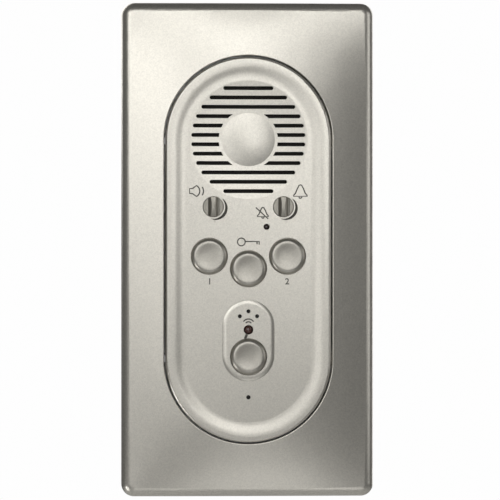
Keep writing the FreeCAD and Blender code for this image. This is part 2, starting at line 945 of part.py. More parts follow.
def grille_slots():
    """Rows of slots that fill a circle; the rows beside the dome are split by it."""
    whole = []
    beside_dome = []
    half = n.grille_slot / 2
    low = under_level - n.overrun
    deep = n.face_skin + 2 * n.overrun
    rows = round((grille_radius.value - n.grille_slot.value) / n.grille_pitch.value)
    for row in range(rows):
        rise = n.grille_pitch * row + n.grille_pitch / 2
        end = leg(grille_radius, rise) - half
        for side in LEFT_RIGHT:
            y = face_spacing + side * rise
            pieces = [block("slot_bar", 0, y, low, 2 * end, n.grille_slot, deep)]
            pieces += [rod("slot_end", way * end, y, low, half, deep) for way in LEFT_RIGHT]
            slots = whole if rise.value > n.grille_inner_radius.value else beside_dome
            slots.append(fuse("slot", pieces))
    hub = rod("grille_hub", 0, face_spacing, low, n.grille_inner_radius, deep)
    return whole + [cut("split_slots", group("slots_beside_dome", beside_dome), [hub])]


def volume_marks(x, y):
    """The crescent groove at the lower right of a knob, and the dot at its quiet end."""
    level = field_level - n.wedge_depth
    deep = n.wedge_depth + n.overrun
    radius = knob_hole_radius + n.wedge_reach
    disc = rod("wedge_disc", x + n.wedge_shift, y - n.wedge_drop, level, radius, deep)
    land = knob_hole_radius + n.wedge_land
    hub = rod("wedge_hub", x, y, level - n.overrun, land, deep + 2 * n.overrun)
    dot_x = x + n.quiet_dot_across
    dot_y = y - n.quiet_dot_drop
    dot = rod("quiet_dot", dot_x, dot_y, level, n.quiet_dot_radius, deep)
    return [cut("wedge", disc, [hub]), dot]


def speaker_hooks():
    """Three snap hooks moulded on the fascia that hold the speaker's rim."""
    hooks = []
    inside = n.speaker_radius + n.hook_gap
    nose_level = basket_rim_bottom - n.hook_nose_height
    for angle in HOOK_ANGLES:
        radians = math.radians(angle)
        arm_depth = under_level + n.join - nose_level
        arm = (n.hook_sheet, n.hook_width, arm_depth)
        nose = (n.hook_sheet + n.hook_nose, n.hook_width, n.hook_nose_height)
        for name, size, middle in (
            ("hook_arm", arm, inside + n.hook_sheet / 2),
            ("hook_nose", nose, inside + (n.hook_sheet - n.hook_nose) / 2),
        ):
            item = doc.addObject("Part::Box", name)
            bind(item, Length=size[0], Width=size[1], Height=size[2])
            item.Placement.Rotation = FreeCAD.Rotation(FreeCAD.Vector(0, 0, 1), angle)
            back = middle - size[0] / 2
            side = size[1] / 2
            x = back * math.cos(radians) + side * math.sin(radians)
            y = back * math.sin(radians) - side * math.cos(radians)
            put(item, x, face_spacing + y, nose_level)
            hooks.append(item)
    return hooks


def front_fascia():
    depth = n.rim_level - flange_top_level
    blank = oval("face_blank", face_radius, face_spacing, flange_top_level, depth)
    blank.Refine = True
    soft = rounded("face_soft", blank, n.rim_round, at_level(n.rim_level))
    cavity = oval(
        "face_cavity",
        cavity_radius,
        face_spacing,
        flange_top_level - n.overrun,
        under_level - flange_top_level + n.overrun,
    )
    bowl, dome = grille_forms()
    shell = cut("face_shell", soft, [cavity, bowl] + dish_tool())
    boss_depth = under_level + n.join - board_level
    bosses = [
        rod("face_boss", x, y, board_level, n.boss_radius, boss_depth) for x, y in SCREW_PLACES
    ]
    ring_level = under_level - n.boot_ring_height
    ring_depth = n.boot_ring_height + n.join
    ring = cut(
        "mic_ring",
        rod("mic_ring_outer", 0, mic_up, ring_level, boot_ring_radius, ring_depth),
        [
            rod(
                "mic_ring_inner",
                0,
                mic_up,
                ring_level - n.overrun,
                boot_radius,
                n.boot_ring_height + n.overrun,
            )
        ],
    )
    solid = fuse("face_solid", [shell, dome, ring] + bosses + speaker_hooks())
    low = under_level - n.overrun
    deep = n.face_skin + n.face_drop + 2 * n.overrun
    tools = grille_slots()
    for x, y, level in BUTTONS.values():
        tools.append(rod("button_hole", x, y, low, button_hole_radius, deep))
    for x, y in KNOBS.values():
        tools.append(rod("knob_hole", x, y, low, knob_hole_radius, deep))
        tools += volume_marks(x, y)
    seat_radius = talk_radius + n.talk_gap
    seat_level = field_level - n.talk_seat
    tools.append(
        oval("talk_seat", seat_radius, n.talk_spacing, seat_level, deep, talk_up)
    )
    talk_led_hole = n.talk_led_radius + n.led_gap
    mute_led_hole = n.mute_led_radius + n.led_gap
    tools.append(rod("talk_led_hole", 0, talk_led_up, low, talk_led_hole, deep))
    tools.append(
        rod("mute_led_hole", n.mute_led_across, mute_led_up, low, mute_led_hole, deep)
    )
    tools.append(rod("mic_hole", 0, mic_up, low, n.mic_hole_radius, deep))
    tools += sound_holes(low, deep)
    pilot = n.screw_radius + n.screw_gap / 2
    for x, y in SCREW_PLACES:
        tools.append(
            rod("pilot", x, y, board_level - n.overrun, pilot, n.screw_grip + n.overrun)
        )
    stand(cut("face", solid, tools), "front_fascia")


def sound_holes(low, deep):
    places = [(0, sound_hole_up)]
    places += [(side * n.sound_side_across, sound_side_up) for side in LEFT_RIGHT]
    return [rod("sound_hole", x, y, low, n.sound_hole_radius, deep) for x, y in places]


def talk_surround():
    """The raised oval panel with soft shoulders, set in a shallow seat of the fascia."""
    low = field_level - n.talk_seat
    depth = n.talk_seat + n.talk_proud
    flat = talk_radius - n.talk_shoulder
    bend = cap_radius(n.talk_shoulder, n.talk_proud)
    half = [
        (0, low),
        (talk_radius, low),
        (talk_radius, field_level, bend),
        (flat, talk_level),
        (0, talk_level),
    ]
    across = [
        (-talk_radius, low),
        (talk_radius, low),
        (talk_radius, field_level, bend),
        (flat, talk_level),
        (-flat, talk_level, bend),
        (-talk_radius, field_level),
    ]
    blank = fuse("talk_blank", stadium("talk_form", half, across, n.talk_spacing, talk_up))
    blank.Refine = True
    below = low - n.overrun
    deep = depth + 2 * n.overrun
    link = doc.addObject("Part::Box", "talk_link")
    bind(link, Length=n.link_width, Width=n.link_length, Height=n.overrun)
    link.Placement.Rotation = FreeCAD.Rotation(FreeCAD.Vector(0, 0, 1), 180 - n.link_angle.value)
    put(link, n.link_width / 2, talk_led_up, talk_level - n.link_depth)
    tools = [
        rod("talk_hole", 0, talk_button_up, below, button_hole_radius, deep),
        rod("talk_lamp_hole", 0, talk_led_up, below, n.talk_led_radius + n.led_gap, deep),
        link,
    ]
    stand(cut("talk", blank, tools + sound_holes(below, deep)), "talk_surround")


# Buttons and their switches

def button_cap(name, x, y, level):
    """A round cap with a dished top, a stop flange behind the fascia and a stem."""
    crest = level + n.button_proud
    dish = crest - n.dish_depth
    roof = dish - n.button_skin
    inside = n.button_radius - n.button_wall
    crest_radius = n.button_radius - n.button_edge_round
    slope_width = n.dish_margin
    dish_radius = crest_radius - slope_width
    slope_rise = n.dish_depth * slope_width / (crest_radius - n.cap_flat)
    dish_rise = n.dish_depth - slope_rise
    corners = [
        (0, dish),
        (n.cap_flat, dish, cap_radius(dish_radius - n.cap_flat, dish_rise)),
        (dish_radius, crest - slope_rise, -cap_radius(slope_width, slope_rise)),
        (crest_radius, crest, -n.button_edge_round),
        (n.button_radius, crest - n.button_edge_round),
        (n.button_radius, cap_flange_top),
        (button_flange_radius, cap_flange_top),
        (button_flange_radius, cap_flange_bottom),
        (inside, cap_flange_bottom),
        (inside, roof),
        (n.stem_radius, roof),
        (n.stem_radius, stem_level),
        (0, stem_level),
    ]
    stand(turned(name + "_cap", corners), name + "_button_cap", x, y)


def switch_plunger(name, x, y):
    depth = stem_level - plunger_bottom_level
    plunger = rod(name + "_plunger", 0, 0, as_size(0), n.plunger_radius, depth)
    stand(plunger, name + "_switch_plunger", x, y, plunger_bottom_level)


def tact_switches():
    bodies = []
    for x, y, level in BUTTONS.values():
        width = n.switch_width
        body = block("switch_body", x, y, board_level, width, width, n.switch_height)
        floor = board_level + n.switch_floor
        bore = rod("switch_bore", x, y, floor, n.plunger_radius + n.plunger_gap, n.switch_height)
        bodies.append(cut("switch", body, [bore]))
    stand(group("switches", bodies), "tact_switches")


# Volume knobs

def finger_scoops(name, floor, crest):
    """What is hollowed out on each side of a knob's grip, down an S-shaped flank."""
    lip = n.grip_width / 2
    toe = lip + n.grip_flank
    middle = (lip + toe) / 2
    half_level = (crest + floor) / 2
    bend = turn_radius(n.grip_flank, crest - floor)
    reach = n.knob_radius + n.overrun
    above = crest + n.overrun
    right = [
        (lip, crest, -bend),
        (middle, half_level, bend),
        (toe, floor),
        (reach, floor),
        (reach, above),
        (lip, above),
    ]
    left = [
        (-reach, floor),
        (-toe, floor, bend),
        (-middle, half_level, -bend),
        (-lip, crest),
        (-lip, above),
        (-reach, above),
    ]
    return [
        extruded(name + "_right_scoop", right, 2 * reach),
        extruded(name + "_left_scoop", left, 2 * reach),
    ]


def volume_knob(name, x, y):
    """A knob with a finger scoop on each side of its grip, a flange and a blind bore."""
    floor = field_level - n.knob_sunk
    crest = field_level + n.grip_proud
    corners = [
        (0, cap_flange_bottom),
        (knob_flange_radius, cap_flange_bottom),
        (knob_flange_radius, cap_flange_top),
        (n.knob_radius, cap_flange_top),
        (n.knob_radius, crest - n.knob_crown, cap_radius(n.knob_radius, n.knob_crown)),
        (0, crest),
    ]
    blank = turned(name + "_blank", corners)
    whole = cut(name + "_whole", blank, finger_scoops(name, floor, crest + n.grip_lift))
    shaft_reach = shaft_top_level - cap_flange_bottom + n.overrun
    bore_radius = n.shaft_radius + n.knob_bore_gap
    bore = rod(name + "_bore", 0, 0, cap_flange_bottom - n.overrun, bore_radius, shaft_reach)
    stand(cut(name + "_knob", whole, [bore]), name + "_volume_knob", x, y)


def volume_shaft(name, x, y):
    """The potentiometer's round shaft, from its case to the knob."""
    length = shaft_top_level - shaft_bottom_level
    shaft = rod(name + "_shaft_rod", 0, 0, as_size(0), n.shaft_radius, length)
    stand(shaft, name + "_volume_shaft", x, y, shaft_bottom_level)


def potentiometer_bodies():
    bodies = []
    for x, y in KNOBS.values():
        width = n.pot_width
        case = block("pot_case", x, y, board_level, width, width, n.pot_height)
        neck_level = board_level + n.pot_height - n.join
        neck_depth = n.pot_neck_height + n.join
        neck = rod("pot_neck", x, y, neck_level, n.pot_neck_radius, neck_depth)
        bore_level = shaft_bottom_level - n.shaft_gap
        bore_radius = n.shaft_radius + n.shaft_gap
        bore = rod("pot_bore", x, y, bore_level, bore_radius, n.pot_height + n.pot_neck_height)
        bodies.append(cut("pot", fuse("pot_body", [case, neck]), [bore]))
    stand(group("pots", bodies), "potentiometer_bodies")


# Lamps

def lamp(label, x, y, radius, front_level):
    """A round lamp with a domed tip and a wider base."""
    base_top = led_base_level + n.led_base_sheet
    tip = front_level - n.led_sunk
    shoulder = tip - radius
    corners = [
        (0, led_base_level),
        (radius + n.led_base_lip, led_base_level),
        (radius + n.led_base_lip, base_top),
        (radius, base_top),
        (radius, shoulder, radius),
        (0, tip),
    ]
    stand(turned(label + "_body", corners), label, x, y)


def lamps():
    lamp("mute_led", n.mute_led_across, mute_led_up, n.mute_led_radius, field_level)
    lamp("talk_led", 0, talk_led_up, n.talk_led_radius, talk_level)
    spacers = []
    leads = []
    length = led_base_level - board_level
    for x, y in ((n.mute_led_across, mute_led_up), (0, talk_led_up)):
        tube = rod("spacer_tube", x, y, board_level, spacer_radius, length)
        low = board_level - n.overrun
        bore = rod("spacer_bore", x, y, low, n.led_spacer_bore, length + 2 * n.overrun)
        spacers.append(cut("spacer", tube, [bore]))
        for side in LEFT_RIGHT:
            place = x + side * n.led_pin_offset
            leads.append(rod("led_lead", place, y, board_level, n.led_pin_radius, length))
    stand(group("spacers", spacers), "led_spacers")
    stand(group("leads", leads), "led_leads")


# Microphone

def microphone():
    boot_low = under_level - n.boot_height
    capsule_top = under_level - n.mic_roof
    capsule_low = capsule_top - n.mic_height
    outer = rod("boot_outer", 0, mic_up, boot_low, boot_radius, n.boot_height)
    pocket_depth = capsule_top - boot_low + n.overrun
    low = boot_low - n.overrun
    pocket = rod("boot_pocket", 0, mic_up, low, n.mic_radius, pocket_depth)
    port = rod("boot_port", 0, mic_up, low, n.mic_hole_radius, n.boot_height + 2 * n.overrun)
    stand(cut("boot", outer, [pocket, port]), "microphone_boot")
    capsule = rod("capsule", 0, 0, as_size(0), n.mic_radius, n.mic_height)
    stand(capsule, "microphone_capsule", 0, mic_up, capsule_low)
    leads = [
        rod(
            "mic_lead",
            side * n.mic_pin_offset,
            mic_up,
            board_level,
            n.mic_pin_radius,
            capsule_low - board_level,
        )
        for side in LEFT_RIGHT
    ]
    stand(group("mic_leads", leads), "microphone_leads")


# Speaker, all of it round the grille's centre

def speaker_ring(label, outer, inner, low, high):
    corners = [(inner, low), (outer, low), (outer, high), (inner, high)]
    stand(turned(label + "_ring", corners), label, 0, face_spacing)


def speaker():
    y = face_spacing
    cloth = rod("cloth_disc", 0, 0, as_size(0), n.speaker_radius, n.cloth_skin)
    stand(cloth, "acoustic_cloth", 0, y, cloth_bottom)
    rim_inner = n.speaker_radius - n.speaker_land
    speaker_ring("speaker_gasket", n.speaker_radius, rim_inner, gasket_bottom, cloth_bottom)
    throat = basket_throat_radius
    base = basket_base_radius
    wall = n.basket_sheet
    corners = [
        (rim_inner, gasket_bottom),
        (rim_inner, basket_rim_bottom),
        (base - wall, basket_floor),
        (throat, basket_floor),
        (throat, basket_floor - wall),
        (base, basket_floor - wall),
        (rim_inner + wall, basket_rim_bottom),
        (n.speaker_radius, basket_rim_bottom),
        (n.speaker_radius, gasket_bottom),
    ]
    dish = turned("basket_dish", corners)
    window_low = basket_floor + wall
    window_depth = n.basket_depth - 2 * wall
    long, wide = 2 * n.speaker_radius, n.basket_window
    windows = [
        block("basket_window", 0, 0, window_low, long, wide, window_depth),
        block("basket_window", 0, 0, window_low, wide, long, window_depth),
    ]
    stand(cut("basket", dish, windows), "speaker_basket", as_size(0), y)
    speaker_cone(rim_inner, y)
    top_low = basket_floor - wall - n.top_plate_sheet
    top_plate_radius = base - n.top_plate_inset
    speaker_ring("speaker_top_plate", top_plate_radius, throat, top_low, basket_floor - wall)
    magnet_low = top_low - n.magnet_height
    magnet_bore = throat + n.magnet_bore_gap
    magnet_radius = top_plate_radius + n.magnet_reach
    speaker_ring("speaker_magnet", magnet_radius, magnet_bore, magnet_low, top_low)
    pole = n.coil_radius - n.coil_wall - n.coil_gap
    yoke = [
        (0, magnet_low - n.top_plate_sheet),
        (top_plate_radius, magnet_low - n.top_plate_sheet),
        (top_plate_radius, magnet_low),
        (pole, magnet_low),
        (pole, basket_floor - wall),
        (0, basket_floor - wall),
    ]
    stand(turned("yoke", yoke), "speaker_yoke", 0, y)
    strip_y = y - n.speaker_radius + n.strip_height / 2
    strip_level = basket_rim_bottom - n.strip_sheet
    strip_size = (n.strip_width, n.strip_height, n.strip_sheet)
    strip = block("strip_block", as_size(0), strip_y, strip_level, *strip_size)
    wall_clear = rod(
        "strip_clear", 0, y, strip_level - n.overrun, rim_inner + wall, n.overrun * 2
    )
    stand(cut("strip", strip, [wall_clear]), "speaker_terminals")
    lugs = []
    wires = []
    lug_level = strip_level - n.speaker_lug_sheet
    wire_low = board_level + n.connector_height
    for side in LEFT_RIGHT:
        x = side * n.speaker_pin_pitch / 2
        lug = (n.speaker_lug_width, n.speaker_lug_width, n.speaker_lug_sheet)
        lugs.append(block("strip_lug", x, speaker_lug_up, lug_level, *lug))
        wires.append(
            rod("wire", x, speaker_lug_up, wire_low, n.speaker_wire_radius, lug_level - wire_low)
        )
    stand(group("strip_lugs", lugs), "speaker_lugs")
    stand(group("wires", wires), "speaker_wires")


def speaker_cone(rim_inner, y):
    """The paper cone with its rolled edge, the dust cap and the coil."""
    sheet_skin = n.cone_sheet
    rim = rim_inner - n.coil_gap
    roll_in = rim - n.surround_roll
    rim_level = gasket_bottom - n.basket_sheet / 2
    neck = n.coil_radius + sheet_skin
    neck_level = basket_floor + n.coil_length
    roll = cap_radius(n.surround_roll / 2, n.surround_height)
    corners = [
        (neck, neck_level),
        (roll_in, rim_level, -roll),
        (rim, rim_level),
        (rim, rim_level + sheet_skin, roll),
        (roll_in, rim_level + sheet_skin),
        (neck, neck_level + sheet_skin),
    ]
    stand(turned("cone", corners), "speaker_cone", 0, y)
    cap_base = neck_level + sheet_skin
    bend = cap_radius(neck, n.dust_cap_height)
    corners = [
        (0, cap_base),
        (neck, cap_base, bend),
        (0, cap_base + n.dust_cap_height),
    ]
    stand(turned("dust_cap", corners), "speaker_dust_cap", 0, y)
    coil_low = neck_level + sheet_skin - n.coil_length - n.top_plate_sheet
    speaker_ring(
        "voice_coil", n.coil_radius, n.coil_radius - n.coil_wall, coil_low, cap_base
    )


# Main board and what stands on it

def main_board():
    disc = oval("board_oval", board_radius, face_spacing, board_back, n.board_sheet)
    height = face_spacing + board_radius + board_top
    middle = board_top - height / 2
    width = 2 * board_radius + 2 * n.overrun
    area = block("board_area", as_size(0), middle, board_back, width, height, n.board_sheet)
    blank = common("board_blank", disc, area)
    holes = [
        rod(
            "board_hole",
            x,
            y,
            board_back - n.overrun,
            n.screw_radius + 2 * n.screw_gap,
            n.board_sheet + 2 * n.overrun,
        )
        for x, y in SCREW_PLACES
    ]
    stand(cut("board", blank, holes), "main_board")


def board_parts():
    capacitor_up = upper_screw_up - n.post_radius - n.capacitor_post_gap - n.capacitor_radius
    chip_up = capacitor_up - n.capacitor_radius - n.chip_gap - n.chip_width / 2
    chip_part_up = chip_up - (n.chip_width + n.chip_part_length) / 2 - n.chip_part_gap
    chips = []
    for side in LEFT_RIGHT:
        low = board_back - n.chip_height
        x = side * (n.chip_length + n.chip_middle_gap) / 2
        size = (n.chip_length, n.chip_width, n.chip_height)
        chips.append(block("chip", x, chip_up, low, *size))
    stand(group("chips", chips), "integrated_circuits")
    cans = []
    for side, radius, height in (
        (-1, n.capacitor_radius, n.capacitor_height),
        (0, n.capacitor_radius, n.capacitor_height),
        (1, n.small_capacitor_radius, n.small_capacitor_height),
    ):
        x = side * (2 * n.capacitor_radius + n.capacitor_gap)
        cans.append(rod("can", x, capacitor_up, board_back - height, radius, height))
    stand(group("cans", cans), "electrolytic_capacitors")
    small = []
    for index in range(CHIP_PARTS):
        x = (index - (CHIP_PARTS - 1) / 2) * n.chip_part_pitch
        low = board_back - n.chip_part_height
        size = (n.chip_part_width, n.chip_part_length, n.chip_part_height)
        small.append(block("chip_part", x, chip_part_up, low, *size))
    stand(group("chip_parts", small), "chip_components")
    connector = block(
        "connector",
        as_size(0),
        speaker_lug_up,
        board_level,
        n.connector_width,
        n.connector_depth,
        n.connector_height,
    )
    stand(group("connector_group", [connector]), "speaker_connector")


# Rear housing and screws

def snap_noses():
    """Noses on the housing's sides that lock it behind the mounting frame."""
    root = housing_radius - n.latch_root
    tip = housing_radius + n.latch_nose
    top = -n.frame_clear
    corners = [
        (root, top - n.latch_height),
        (tip, top - n.latch_step),
        (tip, top),
        (root, top),
    ]
    noses = []
    for side in LEFT_RIGHT:
        for up in (-1, 0, 1):
            nose = extruded("nose", corners, n.latch_length)
            if side < 0:
                nose.Placement.Rotation = FreeCAD.Rotation(FreeCAD.Vector(0, 0, 1), 180)
            noses.append(put(nose, 0, up * n.latch_pitch, 0))
    return noses


def rear_housing():
    rim = under_level - n.housing_rim_gap
    depth = rim - housing_back_level
    tub = oval("tub", housing_radius, face_spacing, housing_back_level, depth)
    tub.Refine = True
    soft = rounded("tub_soft", tub, n.housing_back_round, at_level(housing_back_level))
    reach = housing_radius + n.flange_reach
    flange = oval("tub_flange", reach, face_spacing, n.frame_sheet, n.flange_height)
    cavity = oval("tub_cavity", housing_inner_radius, face_spacing, housing_inner_floor, depth)
    shell = cut("tub_shell", fuse("tub_solid", [soft, flange]), [cavity])
    post_low = housing_inner_floor - n.join
    posts = [
        rod("post", x, y, post_low, n.post_radius, board_back - post_low)
        for x, y in SCREW_PLACES
    ]
    solid = fuse("tub_with_posts", [shell] + posts + snap_noses())
    below = housing_back_level - n.overrun
    tools = []
    for x, y in SCREW_PLACES:
        through = board_back - below + n.overrun
        tools.append(rod("post_hole", x, y, below, n.screw_radius + n.screw_gap, through))
        well_depth = n.screw_well_depth + n.overrun
        well_radius = n.screw_head_radius + n.screw_well_gap
        tools.append(rod("screw_well", x, y, below, well_radius, well_depth))
    floor_cut = n.housing_floor + 2 * n.overrun
    window_width = TERMINALS * n.terminal_pitch + 2 * n.terminal_clear
    window_height = n.terminal_height + 2 * n.terminal_clear
    size = (window_width, window_height, floor_cut)
    tools.append(block("terminal_window", as_size(0), terminal_up, below, *size))
    for index in range(VENTS):
        y = face_spacing + (index - (VENTS - 1) / 2) * n.vent_pitch
        size = (n.vent_width, n.vent_slot, floor_cut)
        tools.append(block("vent", as_size(0), y, below, *size))
    stand(cut("housing", solid, tools), "rear_housing")


def housing_screws():
    """Pan-head screws from the back, through the board, into the fascia's bosses."""
    screws = []
    for x, y in SCREW_PLACES:
        head_low = screw_seat_level - n.screw_head_height
        head = rod("screw_head", x, y, head_low, n.screw_head_radius, n.screw_head_height)
        tip = board_level + n.screw_grip - n.screw_radius
        shank_depth = tip - screw_seat_level + n.join
        shank_low = screw_seat_level - n.join
        shank = rod("screw_shank", x, y, shank_low, n.screw_radius, shank_depth)
        low = head_low - n.overrun
        deep = n.screw_head_height / 2 + n.overrun
        long = 2 * n.screw_head_radius * DRIVER_SLOT_SHARE
        slots = [
            block("driver_slot", x, y, low, n.driver_slot, long, deep),
            block("driver_slot", x, y, low, long, n.driver_slot, deep),
        ]
        screws.append(cut("screw", fuse("screw_body", [head, shank]), slots))
    stand(group("screws", screws), "housing_screws")


# Terminal block

def terminal_places():
    return [(index - (TERMINALS - 1) / 2) * n.terminal_pitch for index in range(TERMINALS)]


def terminal_block():
    width = TERMINALS * n.terminal_pitch
    depth = board_back - terminal_back_level
    body = block(
        "terminal_body",
        as_size(0),
        terminal_up,
        terminal_back_level,
        width,
        n.terminal_height,
        depth,
    )
    entry_y = terminal_up - n.wire_entry_drop
    well_y = terminal_up + n.terminal_well_rise
    low = terminal_back_level - n.overrun
    cage_low = terminal_back_level + n.cage_roof
    deep = n.cage_roof + n.overrun
    cage_width = n.terminal_pitch - n.terminal_wall
    cage_height = n.terminal_height - 2 * n.cage_end_wall
    entry = cage_width - 2 * n.cage_wall
    tools = []
    cages = []
    screws = []
    for x in terminal_places():
        tools.append(block("wire_entry", x, entry_y, low, entry, entry, deep))
        tools.append(rod("screw_entry", x, well_y, low, n.terminal_well_radius, deep))
        room = (cage_width, cage_height, n.cage_depth)
        tools.append(block("cage_room", x, terminal_up, cage_low, *room))
        gap = 2 * n.cage_gap
        size = (cage_width - gap, cage_height - gap, n.cage_depth - gap)
        cage = block("cage_block", x, terminal_up, cage_low + n.cage_gap, *size)
        hole_depth = deep + n.cage_depth / 2
        hole = block("cage_hole", x, entry_y, low, entry - gap, entry - gap, hole_depth)
        cages.append(cut("cage", cage, [hole]))
        radius = n.terminal_well_radius - n.terminal_screw_gap
        screw_low = cage_low - n.terminal_screw_height
        screw = rod("clamp_screw", x, well_y, screw_low, radius, n.terminal_screw_height)
        slot_deep = n.terminal_screw_height / 3 + n.overrun
        slot = block(
            "clamp_slot", x, well_y, screw_low - n.overrun, n.driver_slot, 2 * radius, slot_deep
        )
        screws.append(cut("clamp", screw, [slot]))
    stand(cut("terminals", body, tools), "terminal_block")
    stand(group("cages", cages), "terminal_cages")
    stand(group("clamps", screws), "terminal_screws")


def build():
    cover_plate()
    plate_liner()
    plate_clips()
    mounting_frame()
    front_fascia()
    talk_surround()
    for name, (x, y, level) in BUTTONS.items():
        button_cap(name, x, y, level)
        switch_plunger(name, x, y)
    tact_switches()
    for name, (x, y) in KNOBS.items():
        volume_knob(name, x, y)
        volume_shaft(name, x, y)
    potentiometer_bodies()
    lamps()
    microphone()
    speaker()
    main_board()
    board_parts()
    rear_housing()
    housing_screws()
    terminal_block()
    doc.recompute()


def check():
    """Stop if any object failed or a sub-part is empty or invalid."""
    for item in doc.Objects:
        if "Invalid" in item.State or "Error" in item.State:
            raise RuntimeError(f"{item.Label} failed: {item.State}")
    for item in subparts:
        if item.Shape.isNull() or not item.Shape.isValid() or not item.Shape.Solids:
            raise RuntimeError(f"{item.Label} has no valid shape")


def export():
    os.makedirs("parts", exist_ok=True)
    for item in subparts:
        item.Shape.exportStep(f"parts/{item.Label}.step")
        print(f"{item.Label}: {len(item.Shape.Solids)} solids, {item.Shape.Volume:.1f} mm3")


build()
check()
export()
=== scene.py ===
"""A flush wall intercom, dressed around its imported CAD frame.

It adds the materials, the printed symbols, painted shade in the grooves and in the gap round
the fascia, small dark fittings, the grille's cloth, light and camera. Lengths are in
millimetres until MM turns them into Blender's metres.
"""

import json
import math

import bmesh
import bpy
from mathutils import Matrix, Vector


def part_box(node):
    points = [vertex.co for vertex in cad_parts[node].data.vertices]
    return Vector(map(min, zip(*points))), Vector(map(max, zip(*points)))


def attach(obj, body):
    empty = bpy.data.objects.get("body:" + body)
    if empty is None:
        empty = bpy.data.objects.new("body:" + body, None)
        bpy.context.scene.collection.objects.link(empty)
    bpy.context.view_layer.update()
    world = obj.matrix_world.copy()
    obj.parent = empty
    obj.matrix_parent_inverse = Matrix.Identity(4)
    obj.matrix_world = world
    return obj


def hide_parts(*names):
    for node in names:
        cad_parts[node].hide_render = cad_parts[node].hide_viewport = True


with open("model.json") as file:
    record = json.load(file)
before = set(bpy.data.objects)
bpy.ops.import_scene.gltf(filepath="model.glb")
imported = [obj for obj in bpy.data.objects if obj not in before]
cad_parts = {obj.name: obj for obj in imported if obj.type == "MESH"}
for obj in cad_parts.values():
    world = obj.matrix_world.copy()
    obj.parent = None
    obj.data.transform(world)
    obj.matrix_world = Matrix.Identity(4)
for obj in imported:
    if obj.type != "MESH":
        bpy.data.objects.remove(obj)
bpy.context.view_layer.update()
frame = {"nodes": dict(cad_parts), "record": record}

MM = 0.001


# Levels of the front, in metres along Y

BUTTON_PROUD = 1.5
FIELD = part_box("left_button_cap")[0].y + BUTTON_PROUD * MM
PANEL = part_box("talk_surround")[0].y


# Printed symbols: places across and up from the frame's origin

LOUDSPEAKER_AT = (-16.9, 19.0)
BELL_AT = (16.9, 18.8)
CROSSED_BELL_AT = (4.7, 11.9)
KEY_AT = (0.0, 2.5)
WAVES_AT = (0.0, -23.1)
NUMBERS = {"number_one": ("1", (-12.6, -10.4)), "number_two": ("2", (12.6, -10.4))}
NUMBER_SIZE = 2.8
NUMBER_BOLDNESS = 0.05
LINE_WIDTH = 0.42
BELL_SIZE = 4.6
CROSSED_BELL_SIZE = 3.7
INK_PROUD = 0.03
INK_SUNK = 0.02


# Painted shade in the grooves: dark paint on the floors of the crescents beside the knobs and of
# the link under the talk lamp stands in for the shade in them

VOLUME_SHADE_SHIFT = (0.9, -0.5)
VOLUME_SHADE_INNER = 3.9
VOLUME_SHADE_OUTER = 3.75
VOLUME_GROOVE_DEPTH = 0.9
VOLUME_SHADE_ANGLES = range(-140, 85, 5)
LINK_FROM = (-0.55, -1.5)
LINK_TO = (-1.06, -2.92)
LINK_WIDTH = 0.85
LINK_DEPTH = 0.4


# Small dark fittings: mesh discs in the holes; and dark pads over the frame's slots, which are
# painted shade in the gap round the fascia

SOUND_HOLES = ((0.0, -20.0), (-2.8, -21.6), (2.8, -21.6))
SOUND_HOLE_RADIUS = 0.64
MICROPHONE_HOLE_RADIUS = 0.69
HOLE_MESH_SUNK = 0.08
HOLE_MESH_THICKNESS = 0.06
HOLE_MESH_ROUND = 0.02
PAD_SIZE = (1.0, 0.5, 4.4)
PAD_ROUND = 0.16
PAD_MIDDLE_ACROSS = 27.4
PAD_MIDDLE_UP = 35.8
PAD_GAP = 0.02
FRAME_SHEET_FRONT = -1.2


# The grille's cloth

CLOTH_RINGS = 34
CLOTH_SPOKES = 96
CLOTH_SAG = 0.12
CLOTH_RIPPLE = 0.01
CLOTH_RIPPLES = 7
THREAD_PITCH = 0.42


# Floor and camera, in metres; the sensor in millimetres, places in the photograph in pixels

FLOOR_DROP = 0.5
FLOOR_RADIUS = 2.0
PHOTO_WIDTH = 500
PHOTO_SCALE = 0.3264 * MM
PLATE_MIDDLE = (246.85, 249.65)
CAMERA_DISTANCE = 1.5
CAMERA_LEFT = 3.3
SENSOR_WIDTH = 36.0


# Each soft box: degrees to the left, degrees up, distance, width, height, brightness

SOFT_BOXES = {
    "key": (28, 18, 0.55, 0.3, 0.3, 1.6),
    "key_low": (28, 0, 0.55, 0.2, 0.2, 0.65),
    "key_inner": (10, 18, 0.55, 0.2, 0.2, 0.83),
    "front_top": (-8, 18, 0.55, 0.2, 0.2, 1.27),
    "front": (-8, 4, 0.55, 0.1, 0.1, 3.1),
    "front_low": (10, -5, 0.55, 0.1, 0.1, 2.24),
    "top": (1, 31, 0.55, 0.1, 0.1, 2.33),
    "top_right": (-8, 31, 0.55, 0.1, 0.1, 1.96),
    "lower": (0, -30, 0.6, 0.4, 0.4, 0.18),
    "lower_right": (-8, -36, 0.55, 0.2, 0.2, 0.66),
    "lower_left": (64, -36, 0.55, 0.2, 0.2, 3.0),
    "right_side": (-66, 10, 1.0, 0.6, 0.6, 0.86),
    "back_left": (150, 25, 1.0, 0.8, 0.8, 1.8),
    "back_right": (-150, 10, 1.0, 0.8, 0.8, 1.2),
}


# The world's colours: what the camera sees behind the object, and what lights it all round

GROUND_WHITE = (0.99, 0.99, 0.99, 1.0)
SURROUNDINGS = (0.06, 0.06, 0.06, 1.0)


# Materials


def srgb(*channels):
    """A linear colour from the 0 to 255 values that a picture shows."""
    parts = []
    for channel in channels:
        share = channel / 255
        parts.append(share / 12.92 if share <= 0.04045 else ((share + 0.055) / 1.055) ** 2.4)
    return (*parts, 1.0)


def shade(colour, factor):
    """The colour, made lighter or darker."""
    return (*[min(1.0, part * factor) for part in colour[:3]], 1.0)


